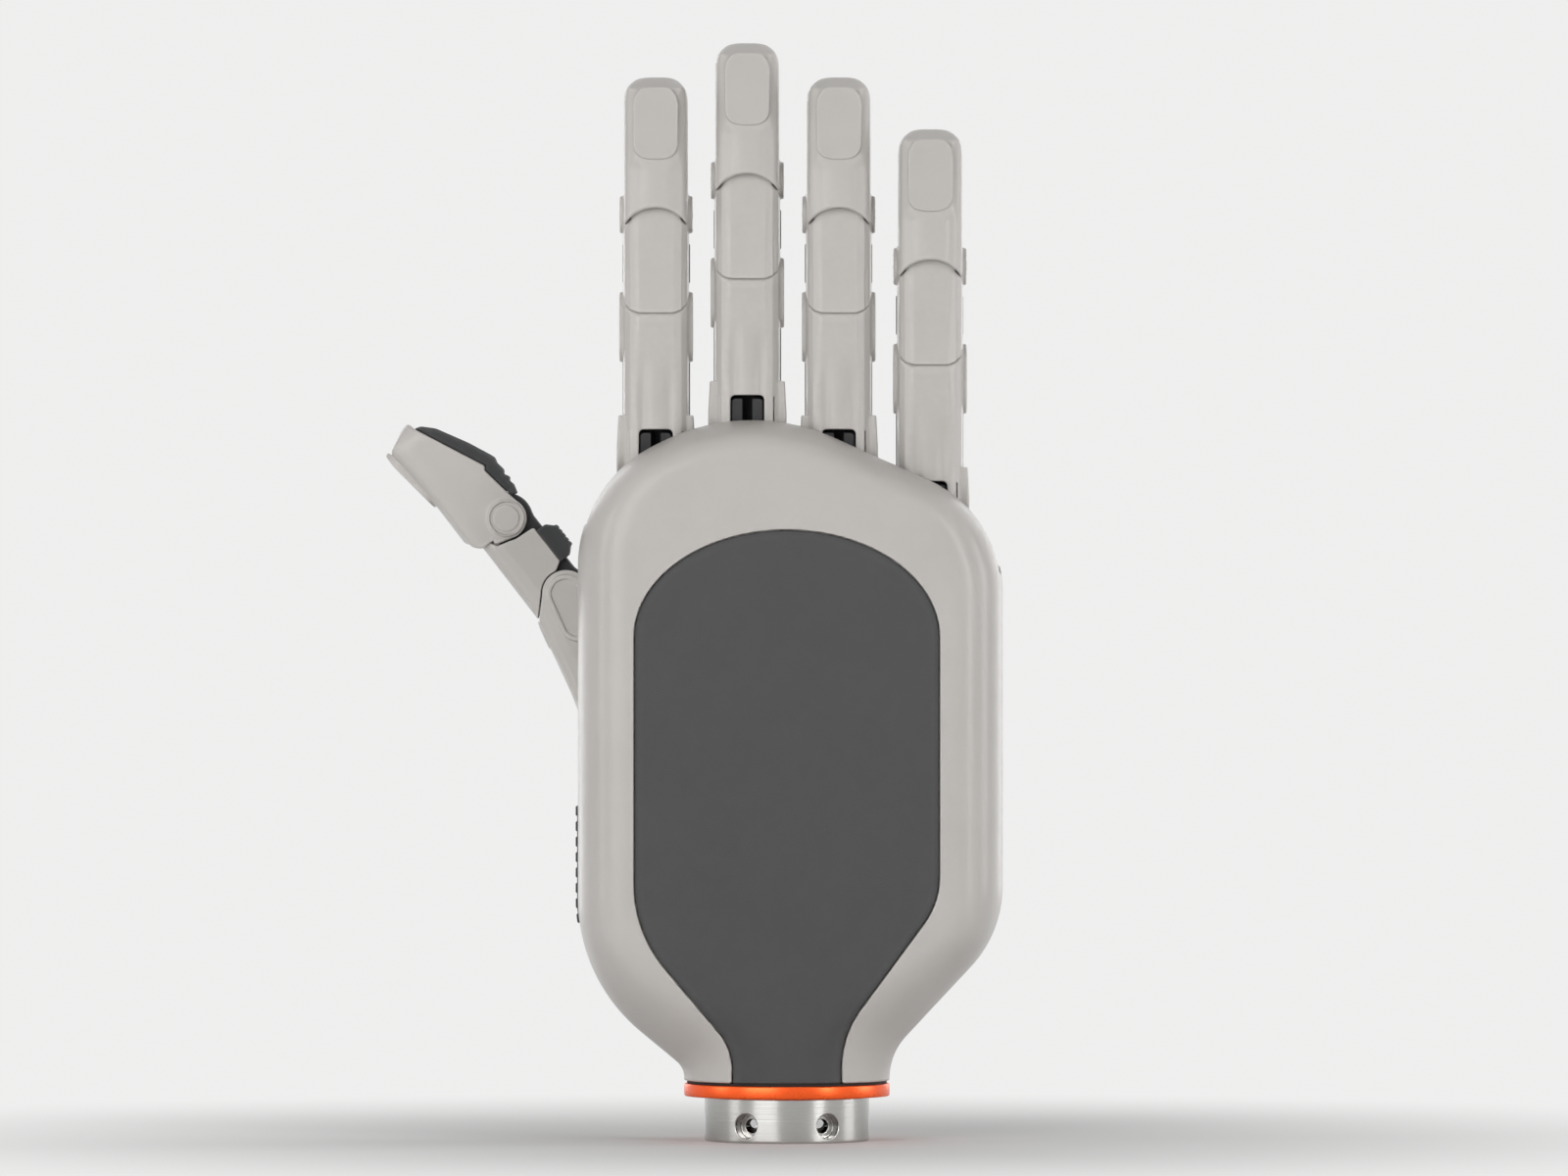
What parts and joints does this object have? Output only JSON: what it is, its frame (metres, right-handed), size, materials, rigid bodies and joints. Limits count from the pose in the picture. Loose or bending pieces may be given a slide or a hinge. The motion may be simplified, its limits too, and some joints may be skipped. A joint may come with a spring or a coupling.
{
  "type": "dexterous robot hand",
  "caption": "Five-fingered robot hand with jointed fingers and an opposable thumb, a moulded palm housing and a round wrist collar for a robot arm.",
  "frame": {"origin": "centre of the wrist collar's lower face", "axes": "+Z from the wrist towards the fingertips, +Y out of the palm face (the grip side), the back of the hand towards -Y, the thumb towards -X"},
  "size_m": [0.1507, 0.0586, 0.2671],
  "materials": {
    "shell": "satin moulded",
    "panel": "matt moulded",
    "pad": "ribbed soft rubber",
    "core": "matt black frame",
    "pin_cap": "satin moulded",
    "ring": "orange anodised",
    "collar": "satin turned",
    "gasket": "matt",
    "motor": "turned can",
    "steel_pin": "ground"
  },
  "bodies": {
    "palm": {"back_cover": "shell", "back_panel": "panel", "palm_shell": "shell", "palm_pad": "pad", "chassis": "core", "drive_motors": "motor", "wrist_gasket": "gasket", "wrist_ring": "ring", "wrist_collar": "collar", "thumb_bracket": "core", "middle_knuckle": "core"},
    "index_knuckle": {"index_knuckle": "core"},
    "index_proximal": {"index_proximal_shell": "shell", "index_proximal_pad": "pad", "index_proximal_pins": "steel_pin"},
    "index_mid": {"index_mid_shell": "shell", "index_mid_core": "core", "index_mid_pad": "pad"},
    "index_tip": {"index_tip_shell": "shell", "index_tip_pad": "pad", "index_tip_pin": "pin_cap"},
    "middle_proximal": {"middle_proximal_shell": "shell", "middle_proximal_pad": "pad", "middle_proximal_pins": "steel_pin"},
    "middle_mid": {"middle_mid_shell": "shell", "middle_mid_core": "core", "middle_mid_pad": "pad"},
    "middle_tip": {"middle_tip_shell": "shell", "middle_tip_pad": "pad", "middle_tip_pin": "pin_cap"},
    "ring_knuckle": {"ring_knuckle": "core"},
    "ring_proximal": {"ring_proximal_shell": "shell", "ring_proximal_pad": "pad", "ring_proximal_pins": "steel_pin"},
    "ring_mid": {"ring_mid_shell": "shell", "ring_mid_core": "core", "ring_mid_pad": "pad"},
    "ring_tip": {"ring_tip_shell": "shell", "ring_tip_pad": "pad", "ring_tip_pin": "pin_cap"},
    "little_knuckle": {"little_knuckle": "core"},
    "little_proximal": {"little_proximal_shell": "shell", "little_proximal_pad": "pad", "little_proximal_pins": "steel_pin"},
    "little_mid": {"little_mid_shell": "shell", "little_mid_core": "core", "little_mid_pad": "pad"},
    "little_tip": {"little_tip_shell": "shell", "little_tip_pad": "pad", "little_tip_pin": "pin_cap"},
    "thumb_base": {"thumb_base": "core"},
    "thumb_proximal": {"thumb_proximal_shell": "shell", "thumb_proximal_pad": "pad", "thumb_proximal_pins": "steel_pin"},
    "thumb_mid": {"thumb_mid_shell": "shell", "thumb_mid_core": "core", "thumb_mid_pad": "pad"},
    "thumb_tip": {"thumb_tip_shell": "shell", "thumb_tip_pad": "pad", "thumb_tip_pin": "pin_cap"}
  },
  "joints": [
    {"name": "index_spread", "type": "hinge", "parent": "palm", "child": "index_knuckle", "pos_m": [-0.0318, 0, 0.1537], "axis": [0, -1, 0], "range_deg": [0, 10]},
    {"name": "index_flex", "type": "hinge", "parent": "index_knuckle", "child": "index_proximal", "pos_m": [-0.0318, 0, 0.1677], "axis": [-1, 0, 0], "range_deg": [0, 80]},
    {"name": "index_curl", "type": "hinge", "parent": "index_proximal", "child": "index_mid", "pos_m": [-0.0318, 0, 0.2017], "axis": [-1, 0, 0], "range_deg": [0, 80]},
    {"name": "index_tip_curl", "type": "hinge", "parent": "index_mid", "child": "index_tip", "pos_m": [-0.0318, 0, 0.2252], "axis": [-1, 0, 0], "range_deg": [0, 56]},
    {"name": "middle_flex", "type": "hinge", "parent": "palm", "child": "middle_proximal", "pos_m": [-0.0096, 0, 0.176], "axis": [-1, 0, 0], "range_deg": [0, 80]},
    {"name": "middle_curl", "type": "hinge", "parent": "middle_proximal", "child": "middle_mid", "pos_m": [-0.0096, 0, 0.21], "axis": [-1, 0, 0], "range_deg": [0, 80]},
    {"name": "middle_tip_curl", "type": "hinge", "parent": "middle_mid", "child": "middle_tip", "pos_m": [-0.0096, 0, 0.2335], "axis": [-1, 0, 0], "range_deg": [0, 56]},
    {"name": "ring_spread", "type": "hinge", "parent": "palm", "child": "ring_knuckle", "pos_m": [0.0126, 0, 0.1537], "axis": [0, 1, 0], "range_deg": [0, 6]},
    {"name": "ring_flex", "type": "hinge", "parent": "ring_knuckle", "child": "ring_proximal", "pos_m": [0.0126, 0, 0.1677], "axis": [-1, 0, 0], "range_deg": [0, 80]},
    {"name": "ring_curl", "type": "hinge", "parent": "ring_proximal", "child": "ring_mid", "pos_m": [0.0126, 0, 0.2017], "axis": [-1, 0, 0], "range_deg": [0, 80]},
    {"name": "ring_tip_curl", "type": "hinge", "parent": "ring_mid", "child": "ring_tip", "pos_m": [0.0126, 0, 0.2252], "axis": [-1, 0, 0], "range_deg": [0, 56]},
    {"name": "little_spread", "type": "hinge", "parent": "palm", "child": "little_knuckle", "pos_m": [0.0348, 0, 0.1411], "axis": [0, 1, 0], "range_deg": [0, 14]},
    {"name": "little_flex", "type": "hinge", "parent": "little_knuckle", "child": "little_proximal", "pos_m": [0.0348, 0, 0.1551], "axis": [-1, 0, 0], "range_deg": [0, 80]},
    {"name": "little_curl", "type": "hinge", "parent": "little_proximal", "child": "little_mid", "pos_m": [0.0348, 0, 0.1891], "axis": [-1, 0, 0], "range_deg": [0, 80]},
    {"name": "little_tip_curl", "type": "hinge", "parent": "little_mid", "child": "little_tip", "pos_m": [0.0348, 0, 0.2126], "axis": [-1, 0, 0], "range_deg": [0, 56]},
    {"name": "thumb_turn", "type": "hinge", "parent": "palm", "child": "thumb_base", "pos_m": [-0.033, 0.024, 0.084], "axis": [-0.342, 0, -0.9397], "range_deg": [0, 80]},
    {"name": "thumb_extend", "type": "hinge", "parent": "thumb_base", "child": "thumb_proximal", "pos_m": [-0.04027, 0.024, 0.10194], "axis": [0, -1, 0], "range_deg": [-55, 0]},
    {"name": "thumb_unfold", "type": "hinge", "parent": "thumb_proximal", "child": "thumb_mid", "pos_m": [-0.0541, 0.024, 0.133], "axis": [0, -1, 0], "range_deg": [-50, 0]},
    {"name": "thumb_tip_unfold", "type": "hinge", "parent": "thumb_mid", "child": "thumb_tip", "pos_m": [-0.06866, 0.024, 0.15144], "axis": [0, -1, 0], "range_deg": [-35, 0]}
  ],
  "couplings": [
    {"joint": "index_tip_curl", "follows": "index_curl", "ratio": 0.7},
    {"joint": "middle_tip_curl", "follows": "middle_curl", "ratio": 0.7},
    {"joint": "ring_spread", "follows": "index_spread", "ratio": 0.6},
    {"joint": "ring_tip_curl", "follows": "ring_curl", "ratio": 0.7},
    {"joint": "little_spread", "follows": "index_spread", "ratio": 1.4},
    {"joint": "little_tip_curl", "follows": "little_curl", "ratio": 0.7},
    {"joint": "thumb_tip_unfold", "follows": "thumb_unfold", "ratio": 0.7}
  ]
}
